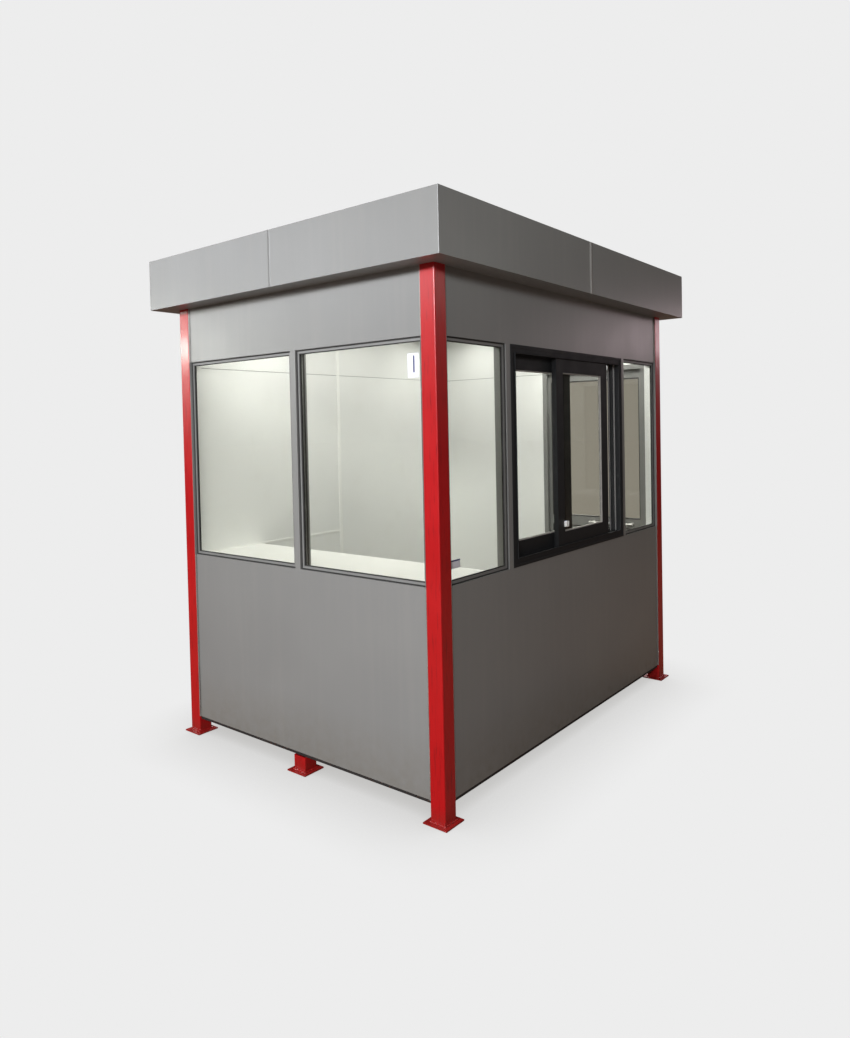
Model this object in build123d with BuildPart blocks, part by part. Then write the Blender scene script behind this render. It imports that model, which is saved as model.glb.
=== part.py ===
"""Security guard booth: red steel posts on base plates, grey composite panels,
glazing on two sides with a sliding service window, a glazed door and a flat
roof hidden behind a deep fascia.

Millimetres. The origin is on the ground under the middle of the booth, +Z up.
The front wall, with the service window, faces -Y. The door is in the right
wall, which faces +X.
"""

import os

from build123d import *

# ---- overall form -----------------------------------------------------------
booth_length = 2300.0  # over the outer faces of the posts, along X
booth_width = 1700.0  # over the outer faces of the posts, along Y
wall_bottom = 90.0  # lower edge of the wall panels above the ground
sill_height = 955.0  # underside of the windows
head_height = 1965.0  # top of the windows and of the door frame
soffit_height = 2245.0  # underside of the eaves and of the ceiling
roof_void = 125.0  # from the ceiling up to the roof sheet on the posts and walls
fascia_height = 255.0
overhang = 105.0  # eaves beyond the outer faces of the posts

# ---- steel frame ------------------------------------------------------------
post = 75.0  # square tube
post_wall = 3.0
post_corner = 5.0  # outer corner radius of the tube
base_plate = 120.0
base_plate_thickness = 6.0
beam_height = 50.0
beam_drop = 15.0  # floor beams show this far below the panels
joist_width = 50.0
joist_count = 3

# ---- walls, floor and linings ----------------------------------------------
panel_setback = 8.0  # outer skin behind the outer faces of the posts
skin = 4.0  # aluminium composite sheet
lining = 4.0
lining_joint = 3.0
lining_seam = -50.0  # upright joint of the back lining, along X
lining_head_joint = 1938.0  # level joint of the back and right linings, above the ground
deck = 18.0
ceiling = 10.0
groove_depth = 1.5  # joints between the sheets of the two plain walls
groove_width = 4.0

# ---- roof -------------------------------------------------------------------
roof_sheet = 2.0
roof_upstand = 40.0
fascia_return = 30.0
fascia_seam = 2.0  # open joint in the middle of each side
fascia_fold = 3.0  # outer radius where a sheet is folded round a corner
soffit_joint = 1.0

# ---- fixed windows ----------------------------------------------------------
frame_face = 16.0
frame_setback = 10.0  # fixed frames behind the outer skin
frame_depth = 16.0
glass = 6.0
glass_recess = 6.0  # glass behind the face of its frame
glass_bite = 9.0  # how far the glass reaches into its groove
glass_clearance = 0.3
mullion = 34.0
left_mullion_centre = -15.0  # along Y

# ---- sliding service window -------------------------------------------------
sliding_width = 1180.0
track_face = 40.0
track_flange = 3.0
track_channel = 28.0
track_depth = 15.0  # depth of the channels in the frame
sash_thickness = 24.0
sash_stile = 70.0
sash_rail = 80.0
outer_sash_width = 572.0
sash_overlap = 42.0  # of the two sashes when shut
sash_top_clearance = 3.0
sash_recess = 9.0  # glass behind the face of a sash
sash_open = 153.0  # how far the outer sash stands open

# ---- counter ----------------------------------------------------------------
counter_depth = 371.0
counter_thickness = 25.0
counter_edge = 3.0

# ---- door -------------------------------------------------------------------
door_opening = 716.0  # between the corner post and the fixed wall
door_face = 17.0
door_thickness = 36.0
door_recess = 2.0
door_gap = 5.0
door_free_gap = 7.0  # wider, so that the swinging edge clears the jamb
door_stop = 12.0
door_stile = 25.0
door_rail = 60.0
door_bottom_rail = 90.0
door_panel = 20.0
hinge_radius = 7.0
hinge_offset = 8.0  # axis in front of the face of the door frame
hinge_plate = 3.0
hinge_plate_width = 15.0
hinge_height = 100.0
hinge_count = 3
hinge_inset = 180.0  # middle of the end hinges from the ends of the door
hinge_play = 0.5  # between the two halves
pin_radius = 4.0
pin_clearance = 0.05
pull_length = 300.0
pull_radius = 8.0
pull_standoff = 30.0
pull_foot_radius = 6.0
pull_edge = 60.0  # end of the pull from the free edge of the door

# ---- worked out from the sizes above ----------------------------------------
half_length = booth_length / 2
half_width = booth_width / 2
roof_height = soffit_height + roof_void  # top of the posts and walls
fascia_top = soffit_height + fascia_height
room_x = half_length - post  # inner faces of the posts
room_y = half_width - post
skin_x = half_length - panel_setback
skin_y = half_width - panel_setback
beam_bottom = wall_bottom - beam_drop
beam_top = beam_bottom + beam_height
floor_height = beam_top + deck
window_height = head_height - sill_height
groove_for_glass = glass + 2 * glass_clearance
eaves_x = half_length + overhang
eaves_y = half_width + overhang

os.makedirs("parts", exist_ok=True)


def save(builder, name):
    """Label a finished piece and write it as a STEP file of that name."""
    builder.part.label = name
    export_step(builder.part, "parts/" + name + ".step")


def span(low, high):
    """Middle and length of a stretch between two places."""
    return (low + high) / 2, high - low


def block(x_range, y_range, z_range, mode=Mode.ADD):
    """A rectangular solid between places on the three axes, drawn in plan."""
    x_mid, x_size = span(*x_range)
    y_mid, y_size = span(*y_range)
    with BuildSketch(Plane.XY.offset(z_range[0])) as plan:
        with Locations((x_mid, y_mid)):
            Rectangle(x_size, y_size)
    extrude(plan.sketch, amount=z_range[1] - z_range[0], mode=mode)


# ---- corner posts with their base plates ------------------------------------
def make_post(name, x_mid, y_mid, top):
    """A square tube welded on a base plate."""
    with BuildPart() as steel:
        with BuildSketch():
            with Locations((x_mid, y_mid)):
                Rectangle(base_plate, base_plate)
        extrude(amount=base_plate_thickness)
        with BuildSketch(Plane.XY.offset(base_plate_thickness)):
            with Locations((x_mid, y_mid)):
                RectangleRounded(post, post, post_corner)
                RectangleRounded(
                    post - 2 * post_wall,
                    post - 2 * post_wall,
                    post_corner - post_wall,
                    mode=Mode.SUBTRACT,
                )
        extrude(amount=top - base_plate_thickness)
    save(steel, name)


post_x = half_length - post / 2
post_y = half_width - post / 2
make_post("corner_post_front_left", -post_x, -post_y, roof_height)
make_post("corner_post_front_right", post_x, -post_y, roof_height)
make_post("corner_post_back_left", -post_x, post_y, roof_height)
make_post("corner_post_back_right", post_x, post_y, roof_height)
make_post("middle_foot_left", -post_x, 0, beam_bottom)
make_post("middle_foot_right", post_x, 0, beam_bottom)

# ---- floor frame ------------------------------------------------------------
beam_y = skin_y - skin  # floor beams stand behind the skin
beam_x = skin_x - skin

with BuildPart() as floor_frame:
    block((-room_x, room_x), (-beam_y, -room_y), (beam_bottom, beam_top))
    block((-room_x, room_x), (room_y, beam_y), (beam_bottom, beam_top))
    joist_pitch = 2 * room_x / (joist_count + 1)
    for joist_number in range(joist_count):
        joist_mid = -room_x + joist_pitch * (joist_number + 1)
        joist_x = (joist_mid - joist_width / 2, joist_mid + joist_width / 2)
        block(joist_x, (-room_y, room_y), (beam_bottom, beam_top))
save(floor_frame, "floor_frame")

with BuildPart() as floor_end_beams:
    block((-beam_x, -room_x), (-room_y, room_y), (beam_bottom, beam_top))
    block((room_x, beam_x), (-room_y, room_y), (beam_bottom, beam_top))
save(floor_end_beams, "floor_end_beams")

with BuildPart() as floor_deck:
    block((-room_x, room_x), (-room_y, room_y), (beam_top, floor_height))
save(floor_deck, "floor_deck")


# ---- walls ------------------------------------------------------------------
def wall_profile(skin_face, inner_face, low, high, lip_bottom):
    """Section of a wall band whose outer skin laps down over the floor beam."""
    inwards = 1 if inner_face > skin_face else -1
    with BuildLine() as outline:
        Polyline(
            (skin_face, lip_bottom),
            (skin_face + inwards * skin, lip_bottom),
            (skin_face + inwards * skin, low),
            (inner_face, low),
            (inner_face, high),
            (skin_face, high),
            close=True,
        )
    make_face(outline.line)


with BuildPart() as front_wall_lower:
    with BuildSketch(Plane.YZ):
        wall_profile(-skin_y, -room_y, beam_top, sill_height, wall_bottom)
    extrude(amount=room_x, both=True)
save(front_wall_lower, "front_wall_lower")

with BuildPart() as front_wall_upper:
    block((-room_x, room_x), (-skin_y, -room_y), (head_height, roof_height))
save(front_wall_upper, "front_wall_upper")

with BuildPart() as left_wall_lower:
    with BuildSketch(Plane.XZ):
        wall_profile(-skin_x, -room_x, beam_top, sill_height, wall_bottom)
    extrude(amount=room_y, both=True)
save(left_wall_lower, "left_wall_lower")

with BuildPart() as left_wall_upper:
    block((-skin_x, -room_x), (-room_y, room_y), (head_height, roof_height))
save(left_wall_upper, "left_wall_upper")

# The plain back wall has its sheets jointed in line with the windows' sill and
# head, and down its middle between them.
with BuildPart() as back_wall:
    with BuildSketch(Plane.YZ):
        wall_profile(skin_y, room_y, beam_top, roof_height, wall_bottom)
    extrude(amount=room_x, both=True)
    for joint_height in (sill_height, head_height):
        joint_z = (joint_height - groove_width / 2, joint_height + groove_width / 2)
        block((-room_x, room_x), (skin_y - groove_depth, skin_y), joint_z, Mode.SUBTRACT)
    block(
        (-groove_width / 2, groove_width / 2),
        (skin_y - groove_depth, skin_y),
        (sill_height, head_height),
        Mode.SUBTRACT,
    )
save(back_wall, "back_wall")

# The right wall stands beside the door, and its upper band runs on over it.
door_rear = -room_y + door_opening

with BuildPart() as right_wall:
    with BuildSketch(Plane.XZ.offset(-room_y)):
        wall_profile(skin_x, room_x, beam_top, head_height, wall_bottom)
    extrude(amount=room_y - door_rear)
    joint_z = (sill_height - groove_width / 2, sill_height + groove_width / 2)
    block((skin_x - groove_depth, skin_x), (door_rear, room_y), joint_z, Mode.SUBTRACT)
save(right_wall, "right_wall")

with BuildPart() as right_wall_upper:
    block((room_x, skin_x), (-room_y, room_y), (head_height, roof_height))
save(right_wall_upper, "right_wall_upper")

# ---- mullions between the windows -------------------------------------------
left_mullion_y = (left_mullion_centre - mullion / 2, left_mullion_centre + mullion / 2)
with BuildPart() as left_mullion:
    block((-skin_x, -room_x), left_mullion_y, (sill_height, head_height))
save(left_mullion, "left_mullion")

sliding_edge = sliding_width / 2
with BuildPart() as front_mullions:
    block((-sliding_edge - mullion, -sliding_edge), (-skin_y, -room_y), (sill_height, head_height))
    block((sliding_edge, sliding_edge + mullion), (-skin_y, -room_y), (sill_height, head_height))
save(front_mullions, "front_mullions")


# ---- fixed windows ----------------------------------------------------------
# The wall planes look outwards, with their Y axis up.
window_mid = (sill_height + head_height) / 2
front_face = Plane(origin=(0, -skin_y, window_mid), x_dir=(1, 0, 0), z_dir=(0, -1, 0))
left_face = Plane(origin=(-skin_x, 0, window_mid), x_dir=(0, -1, 0), z_dir=(-1, 0, 0))


def ring(plane, middle, outer_size, side_width, rail_height, depth):
    """A rectangular frame that runs inwards from a plane."""
    inner_size = (outer_size[0] - 2 * side_width, outer_size[1] - 2 * rail_height)
    with BuildSketch(plane) as section:
        with Locations(middle):
            Rectangle(*outer_size)
            Rectangle(*inner_size, mode=Mode.SUBTRACT)
    extrude(section.sketch, amount=-depth)


def slab(plane, middle, size, depth, mode):
    """A sheet that runs inwards from a plane, or the groove all round for one."""
    with BuildSketch(plane) as face:
        with Locations(middle):
            Rectangle(*size)
    extrude(face.sketch, amount=-depth, mode=mode)


def fixed_frame(name, plane, low, high):
    """Frame of one fixed window between two places along its wall."""
    middle, width = span(low, high)
    sight = (width - 2 * frame_face, window_height - 2 * frame_face)
    groove_size = (sight[0] + 2 * glass_bite, sight[1] + 2 * glass_bite)
    frame_plane = plane.offset(-frame_setback)
    with BuildPart() as frame:
        ring(frame_plane, (middle, 0), (width, window_height), frame_face, frame_face, frame_depth)
        groove_plane = frame_plane.offset(-glass_recess)
        slab(groove_plane, (middle, 0), groove_size, groove_for_glass, Mode.SUBTRACT)
    save(frame, name)


def pane(plane, low, high):
    """Glass of one fixed window, seated in the groove of its frame."""
    middle, width = span(low, high)
    margin = 2 * (frame_face - glass_bite + glass_clearance)
    pane_size = (width - margin, window_height - margin)
    pane_plane = plane.offset(-frame_setback - glass_recess - glass_clearance)
    slab(pane_plane, (middle, 0), pane_size, glass, Mode.ADD)


# Along the left wall the plane's X axis runs towards -Y, from back to front.
left_back_window = (-room_y, -left_mullion_y[1])
left_front_window = (-left_mullion_y[0], room_y)
front_left_window = (-room_x, -sliding_edge - mullion)
front_right_window = (sliding_edge + mullion, room_x)

fixed_frame("left_window_frame_back", left_face, *left_back_window)
fixed_frame("left_window_frame_front", left_face, *left_front_window)
fixed_frame("front_window_frame_left", front_face, *front_left_window)
fixed_frame("front_window_frame_right", front_face, *front_right_window)

with BuildPart() as left_window_glass:
    pane(left_face, *left_back_window)
    pane(left_face, *left_front_window)
save(left_window_glass, "left_window_glass")

with BuildPart() as front_window_glass:
    pane(front_face, *front_left_window)
    pane(front_face, *front_right_window)
save(front_window_glass, "front_window_glass")

# ---- white inner linings ----------------------------------------------------
# Sheets on the inside of the walls, and boards that line each fixed window's
# opening from its frame to the room. The sheets cover the ends of the boards.
lined_x = room_x - lining
lined_y = room_y - lining
reveal_start = frame_setback + frame_depth
reveal_depth = post - panel_setback - reveal_start


def reveal(plane, low, high):
    """Boards round the opening of one fixed window."""
    middle, width = span(low, high)
    reveal_plane = plane.offset(-reveal_start)
    ring(reveal_plane, (middle, 0), (width, window_height), lining, lining, reveal_depth)


lower_sheet = (floor_height, sill_height + lining)
upper_sheet = (head_height - lining, soffit_height)

with BuildPart() as front_lining:
    block((-room_x, room_x), (-room_y, -lined_y), lower_sheet)
    block((-room_x, room_x), (-room_y, -lined_y), upper_sheet)
    reveal(front_face, *front_left_window)
    reveal(front_face, *front_right_window)
save(front_lining, "front_lining")

with BuildPart() as left_lining:
    block((-room_x, -lined_x), (-lined_y, lined_y), lower_sheet)
    block((-room_x, -lined_x), (-lined_y, lined_y), upper_sheet)
    reveal(left_face, *left_back_window)
    reveal(left_face, *left_front_window)
save(left_lining, "left_lining")

# The back wall is lined with two sheets on the left of its upright joint and
# one on the right. All sheets stop just under the windows' head, with a band
# over them.
half_joint = lining_joint / 2
sheet_top = lining_head_joint - half_joint
top_band = (lining_head_joint + half_joint, soffit_height)
with BuildPart() as back_lining:
    left_sheet = (-room_x, lining_seam - half_joint)
    right_sheet = (lining_seam + half_joint, room_x)
    block(left_sheet, (lined_y, room_y), (floor_height, sill_height - half_joint))
    block(left_sheet, (lined_y, room_y), (sill_height + half_joint, sheet_top))
    block(right_sheet, (lined_y, room_y), (floor_height, sheet_top))
    block((-room_x, room_x), (lined_y, room_y), top_band)
save(back_lining, "back_lining")

with BuildPart() as right_lining:
    block((lined_x, room_x), (door_rear, lined_y), (floor_height, sheet_top))
    block((lined_x, room_x), (door_rear, lined_y), top_band)
    block((lined_x, room_x), (-lined_y, door_rear), (head_height, soffit_height))
save(right_lining, "right_lining")

# ---- sliding service window -------------------------------------------------
track_pitch = track_channel + track_flange
sliding_depth = 2 * track_pitch + track_flange
track_inner = track_face - track_depth  # floor of the channels from the frame's edge
channel_size = (sliding_width - 2 * track_inner, window_height - 2 * track_inner)

with BuildPart() as sliding_window_frame:
    ring(front_face, (0, 0), (sliding_width, window_height), track_face, track_face, sliding_depth)
    for track in range(2):
        channel_plane = front_face.offset(-track_flange - track * track_pitch)
        slab(channel_plane, (0, 0), channel_size, track_channel, Mode.SUBTRACT)
save(sliding_window_frame, "sliding_window_frame")

# Each sash stands on the floor of its channel. The inner one is pushed to the
# left end, the outer one stands open by some way from the right end.
inner_sash_width = channel_size[0] + sash_overlap - outer_sash_width
sash_height = channel_size[1] - sash_top_clearance
sash_play = (track_channel - sash_thickness) / 2
sash_middle_height = -sash_top_clearance / 2
inner_sash_x = (inner_sash_width - channel_size[0]) / 2
outer_sash_x = (channel_size[0] - outer_sash_width) / 2 - sash_open
outer_sash_face = front_face.offset(-track_flange - sash_play)
inner_sash_face = outer_sash_face.offset(-track_pitch)
outer_sash = (outer_sash_face, (outer_sash_x, sash_middle_height), outer_sash_width)
inner_sash = (inner_sash_face, (inner_sash_x, sash_middle_height), inner_sash_width)


def sash_light(width):
    """Width and height of the clear opening in a sash."""
    return (width - 2 * sash_stile, sash_height - 2 * sash_rail)


def make_sash(name, plane, middle, width):
    """One sliding sash with the groove for its glass."""
    sight = sash_light(width)
    bite_size = (sight[0] + 2 * glass_bite, sight[1] + 2 * glass_bite)
    with BuildPart() as sash:
        ring(plane, middle, (width, sash_height), sash_stile, sash_rail, sash_thickness)
        groove_plane = plane.offset(-sash_recess)
        slab(groove_plane, middle, bite_size, groove_for_glass, Mode.SUBTRACT)
    save(sash, name)


make_sash("sliding_sash_outer", *outer_sash)
make_sash("sliding_sash_inner", *inner_sash)

with BuildPart() as sliding_window_glass:
    sash_reach = 2 * (glass_bite - glass_clearance)
    for plane, middle, width in (outer_sash, inner_sash):
        sight = sash_light(width)
        pane_size = (sight[0] + sash_reach, sight[1] + sash_reach)
        slab(plane.offset(-sash_recess - glass_clearance), middle, pane_size, glass, Mode.ADD)
save(sliding_window_glass, "sliding_window_glass")

# ---- counter along the left wall --------------------------------------------
with BuildPart() as counter:
    counter_x = (-lined_x, -lined_x + counter_depth)
    block(counter_x, (-lined_y, lined_y), (sill_height - counter_thickness, sill_height))
    front_edges = counter.edges().filter_by(Axis.Y).group_by(Axis.X)[-1]
    fillet(front_edges, radius=counter_edge)
save(counter, "counter")

# ---- door frame -------------------------------------------------------------
right_face = Plane(origin=(skin_x, 0, 0), x_dir=(0, 1, 0), z_dir=(1, 0, 0))
door_front = -room_y
frame_middle = ((door_front + door_rear) / 2, (beam_top + head_height) / 2)
door_frame_size = (door_opening, head_height - beam_top)
stop_plane = door_recess + door_thickness + door_gap  # front of the stop behind the face

with BuildPart() as door_frame:
    ring(right_face, frame_middle, door_frame_size, door_face, door_face, post - panel_setback)
    ring(
        right_face.offset(-stop_plane),
        frame_middle,
        door_frame_size,
        door_face + door_stop,
        door_face + door_stop,
        post - panel_setback - stop_plane,
    )
    block((skin_x - skin, skin_x), (door_front, door_rear), (wall_bottom, beam_top))
save(door_frame, "door_frame")

# ---- door leaf --------------------------------------------------------------
leaf_front = door_front + door_face + door_free_gap
leaf_rear = door_rear - door_face - door_gap
leaf_bottom = beam_top + door_face + door_gap
leaf_top = head_height - door_face - door_gap
leaf_face = right_face.offset(-door_recess)
leaf_mid, leaf_width = span(leaf_front, leaf_rear)
light_width = leaf_width - 2 * door_stile
glass_z = (sill_height + door_rail / 2, leaf_top - door_rail)
panel_z = (leaf_bottom + door_bottom_rail, sill_height - door_rail / 2)


def leaf_cut(z_range, reach, front, thickness, mode):
    """A sheet or a cut in the door leaf, between two heights."""
    z_mid, z_size = span(*z_range)
    cut_size = (light_width + 2 * reach, z_size + 2 * reach)
    slab(leaf_face.offset(-front), (leaf_mid, z_mid), cut_size, thickness, mode)


glass_front = (door_thickness - glass) / 2
panel_front = (door_thickness - door_panel) / 2

with BuildPart() as door_leaf:
    with BuildSketch(leaf_face):
        leaf_z_mid, leaf_height = span(leaf_bottom, leaf_top)
        with Locations((leaf_mid, leaf_z_mid)):
            Rectangle(leaf_width, leaf_height)
    extrude(amount=-door_thickness)
    for z_range in (glass_z, panel_z):
        leaf_cut(z_range, 0, 0, door_thickness, Mode.SUBTRACT)
    for z_range, front, thickness in (
        (glass_z, glass_front, glass),
        (panel_z, panel_front, door_panel),
    ):
        groove_front = front - glass_clearance
        leaf_cut(z_range, glass_bite, groove_front, thickness + 2 * glass_clearance, Mode.SUBTRACT)
save(door_leaf, "door_leaf")

with BuildPart() as door_glass:
    leaf_cut(glass_z, glass_bite - glass_clearance, glass_front, glass, Mode.ADD)
save(door_glass, "door_glass")

with BuildPart() as door_lower_panel:
    leaf_cut(panel_z, glass_bite - glass_clearance, panel_front, door_panel, Mode.ADD)
save(door_lower_panel, "door_lower_panel")

# ---- lift-off hinges --------------------------------------------------------
axis_x = skin_x + hinge_offset
axis_y = door_rear - door_face - door_gap / 2
hinge_pitch = (leaf_height - 2 * hinge_inset) / (hinge_count - 1)
hinge_middles = [leaf_bottom + hinge_inset + number * hinge_pitch for number in range(hinge_count)]
half_hinge = hinge_height / 2
frame_plate_y = (axis_y, axis_y + door_gap / 2 + hinge_plate_width)
leaf_plate_y = (axis_y - door_gap / 2 - hinge_plate_width, axis_y)

with BuildPart() as door_hinge_pins:
    for middle in hinge_middles:
        with BuildSketch(Plane.XY.offset(middle - half_hinge)):
            with Locations((axis_x, axis_y)):
                Circle(hinge_radius)
            with Locations((skin_x + hinge_plate / 2, span(*frame_plate_y)[0])):
                Rectangle(hinge_plate, span(*frame_plate_y)[1])
        extrude(amount=half_hinge)
        with BuildSketch(Plane.XY.offset(middle)):
            with Locations((axis_x, axis_y)):
                Circle(pin_radius)
        extrude(amount=half_hinge)
save(door_hinge_pins, "door_hinge_pins")

leaf_plate_thickness = hinge_plate + door_recess
with BuildPart() as door_hinge_barrels:
    for middle in hinge_middles:
        with BuildSketch(Plane.XY.offset(middle + hinge_play)):
            with Locations((axis_x, axis_y)):
                Circle(hinge_radius)
            plate_x = skin_x - door_recess + leaf_plate_thickness / 2
            plate_y = span(leaf_plate_y[0], leaf_plate_y[1] - door_gap / 2)
            with Locations((plate_x, plate_y[0])):
                Rectangle(leaf_plate_thickness, plate_y[1])
            with Locations((axis_x, axis_y)):
                Circle(pin_radius + pin_clearance, mode=Mode.SUBTRACT)
        extrude(amount=half_hinge - hinge_play)
save(door_hinge_barrels, "door_hinge_barrels")

# ---- pull bars on both faces of the middle rail -----------------------------
pull_y = leaf_front + pull_edge
leaf_outside = skin_x - door_recess
leaf_inside = leaf_outside - door_thickness

with BuildPart() as door_pulls:
    for face_x, outwards in ((leaf_outside, 1), (leaf_inside, -1)):
        bar_x = face_x + outwards * (pull_standoff + pull_radius)
        with BuildSketch(Plane(origin=(bar_x, pull_y, sill_height), z_dir=(0, 1, 0))):
            Circle(pull_radius)
        extrude(amount=pull_length)
        for foot_shift in (2 * pull_radius, pull_length - 2 * pull_radius):
            foot_centre = (face_x, pull_y + foot_shift, sill_height)
            with BuildSketch(Plane(origin=foot_centre, z_dir=(outwards, 0, 0))):
                Circle(pull_foot_radius)
            extrude(amount=pull_standoff + pull_radius)
save(door_pulls, "door_pulls")

# ---- ceiling and roof -------------------------------------------------------
with BuildPart() as ceiling_panel:
    block((-room_x, room_x), (-room_y, room_y), (soffit_height, soffit_height + ceiling))
save(ceiling_panel, "ceiling_panel")

fascia_x = eaves_x - skin  # inner faces of the fascia
fascia_y = eaves_y - skin

with BuildPart() as roof_tray:
    with BuildSketch(Plane.XY.offset(roof_height)):
        Rectangle(2 * fascia_x, 2 * fascia_y)
    extrude(amount=roof_sheet)
    with BuildSketch(Plane.XY.offset(roof_height)):
        Rectangle(2 * fascia_x, 2 * fascia_y)
        tray_size = (2 * (fascia_x - roof_sheet), 2 * (fascia_y - roof_sheet))
        Rectangle(*tray_size, mode=Mode.SUBTRACT)
    extrude(amount=roof_upstand)
save(roof_tray, "roof_tray")


def corner_strip(side_x, side_y, width):
    """An L in plan that follows one corner of the eaves up to the seams."""
    seam = fascia_seam / 2
    with BuildLine() as outline:
        Polyline(
            (side_x * seam, side_y * eaves_y),
            (side_x * eaves_x, side_y * eaves_y),
            (side_x * eaves_x, side_y * seam),
            (side_x * (eaves_x - width), side_y * seam),
            (side_x * (eaves_x - width), side_y * (eaves_y - width)),
            (side_x * seam, side_y * (eaves_y - width)),
            close=True,
        )
    make_face(outline.line)


for end, side_x in (("left", -1), ("right", 1)):
    for face, side_y in (("front", -1), ("back", 1)):
        with BuildPart() as fascia:
            with BuildSketch(Plane.XY.offset(soffit_height)):
                corner_strip(side_x, side_y, skin)
            extrude(amount=fascia_top - soffit_height)
            with BuildSketch(Plane.XY.offset(fascia_top - skin)):
                corner_strip(side_x, side_y, fascia_return)
            extrude(amount=skin)
            folded_corner = (side_x * eaves_x, side_y * eaves_y, soffit_height)
            upright_edges = fascia.edges().filter_by(Axis.Z)
            fillet(upright_edges.sort_by_distance(folded_corner)[0], radius=fascia_fold)
        save(fascia, "fascia_" + face + "_" + end)

# The eaves are closed by four strips, butted at the corners and notched round
# the posts.
with BuildPart() as soffit:
    soffit_z = (soffit_height, soffit_height + skin)
    for side in (-1, 1):
        long_strip = sorted((side * skin_y, side * fascia_y))
        block((-fascia_x, fascia_x), long_strip, soffit_z)
        short_strip = sorted((side * skin_x, side * fascia_x))
        short_end = skin_y - soffit_joint
        block(short_strip, (-short_end, short_end), soffit_z)
    with BuildSketch(Plane.XY.offset(soffit_height)):
        with GridLocations(2 * post_x, 2 * post_y, 2, 2):
            Rectangle(post, post)
    extrude(amount=skin, mode=Mode.SUBTRACT)
save(soffit, "soffit")
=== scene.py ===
"""Security guard booth: red steel posts, grey composite walls, glazing on two
sides with a sliding service window, a glazed door and a deep flat fascia.
Metres. Front faces -Y, the door faces +X, the ground is at Z = 0."""

import math

import bpy
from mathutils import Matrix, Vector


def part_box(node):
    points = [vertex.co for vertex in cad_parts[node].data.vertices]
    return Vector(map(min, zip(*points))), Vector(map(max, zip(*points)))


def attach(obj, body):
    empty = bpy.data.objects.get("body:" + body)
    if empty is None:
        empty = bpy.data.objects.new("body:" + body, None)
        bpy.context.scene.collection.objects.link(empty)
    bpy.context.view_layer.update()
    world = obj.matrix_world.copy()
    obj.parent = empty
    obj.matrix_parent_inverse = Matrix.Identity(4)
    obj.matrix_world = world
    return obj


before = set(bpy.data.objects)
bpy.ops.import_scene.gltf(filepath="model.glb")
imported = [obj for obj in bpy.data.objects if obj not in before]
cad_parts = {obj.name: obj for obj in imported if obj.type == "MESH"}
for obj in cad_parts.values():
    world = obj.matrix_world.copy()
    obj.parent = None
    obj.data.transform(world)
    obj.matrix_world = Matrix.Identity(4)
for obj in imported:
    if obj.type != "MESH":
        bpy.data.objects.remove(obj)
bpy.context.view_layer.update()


# ---- camera -----------------------------------------------------------------
# A person's eye height, near the front left corner, turned along the booth's
# diagonal, with a wide lens that makes the far corners fall away.
bpy.ops.object.camera_add(
    location=(-3.55206, -2.67905, 1.60209),
    rotation=(math.radians(88.38055), math.radians(1.23799), math.radians(-50.80163)),
)
camera = bpy.context.object
camera.name = "eye_level_camera"
camera.data.lens = 26.6707
camera.data.sensor_width = 36
camera.data.shift_x = 0.01292
camera.data.shift_y = -0.06770
bpy.context.scene.camera = camera
bpy.context.scene.view_settings.view_transform = "Standard"


# ---- studio floor and surroundings ------------------------------------------
# A plain pale floor that meets a plain pale backdrop with no line between them,
# with only a soft shade where the booth stands. What it throws back on to the
# booth is as little as a dark workshop floor throws, and glass dims it.
def linear(hex_colour):
    """An sRGB colour as Blender's linear one."""
    channels = [int(hex_colour[at : at + 2], 16) / 255 for at in (1, 3, 5)]
    return [c / 12.92 if c <= 0.04045 else ((c + 0.055) / 1.055) ** 2.4 for c in channels] + [1]


def add_node(owner, kind, sockets=None, **settings):
    """Adds a node with its settings. A socket takes a value, or an output to link."""
    node = owner.node_tree.nodes.new(kind)
    for name, value in settings.items():
        setattr(node, name, value)
    for key, value in (sockets or {}).items():
        if isinstance(value, bpy.types.NodeSocket):
            owner.node_tree.links.new(value, node.inputs[key])
        else:
            node.inputs[key].default_value = value
    return node


def empty_material(name):
    """A material with no nodes yet."""
    material = bpy.data.materials.new(name)
    material.use_nodes = True
    material.node_tree.nodes.clear()
    return material


backdrop_colour = linear("#EDEDED")
behind_glass = linear("#9A938A")

floor_paint = empty_material("pale_studio_floor")
paths = add_node(floor_paint, "ShaderNodeLightPath")
corner_shade = add_node(floor_paint, "ShaderNodeAmbientOcclusion", {"Distance": 0.45}, samples=8)
shade = add_node(
    floor_paint,
    "ShaderNodeMix",
    {0: corner_shade.outputs["AO"], 6: linear("#BDBCBA"), 7: backdrop_colour},
    data_type="RGBA",
)
dimmed = add_node(
    floor_paint,
    "ShaderNodeMix",
    {0: paths.outputs["Is Transmission Ray"], 6: shade.outputs[2], 7: behind_glass},
    data_type="RGBA",
)
pale = add_node(floor_paint, "ShaderNodeEmission", {"Color": dimmed.outputs[2]})
dark = add_node(floor_paint, "ShaderNodeBsdfDiffuse", {"Color": linear("#654D3D")})
seen = add_node(
    floor_paint,
    "ShaderNodeMixShader",
    {0: paths.outputs["Is Reflection Ray"], 1: pale.outputs[0], 2: dark.outputs[0]},
)
add_node(floor_paint, "ShaderNodeOutputMaterial", {"Surface": seen.outputs[0]})

bpy.ops.object.select_all(action="DESELECT")
bpy.ops.mesh.primitive_plane_add(size=120, location=(0, 0, -0.0006))
studio_floor = bpy.context.object
studio_floor.name = "studio_floor"
studio_floor.data.materials.append(floor_paint)

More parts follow.
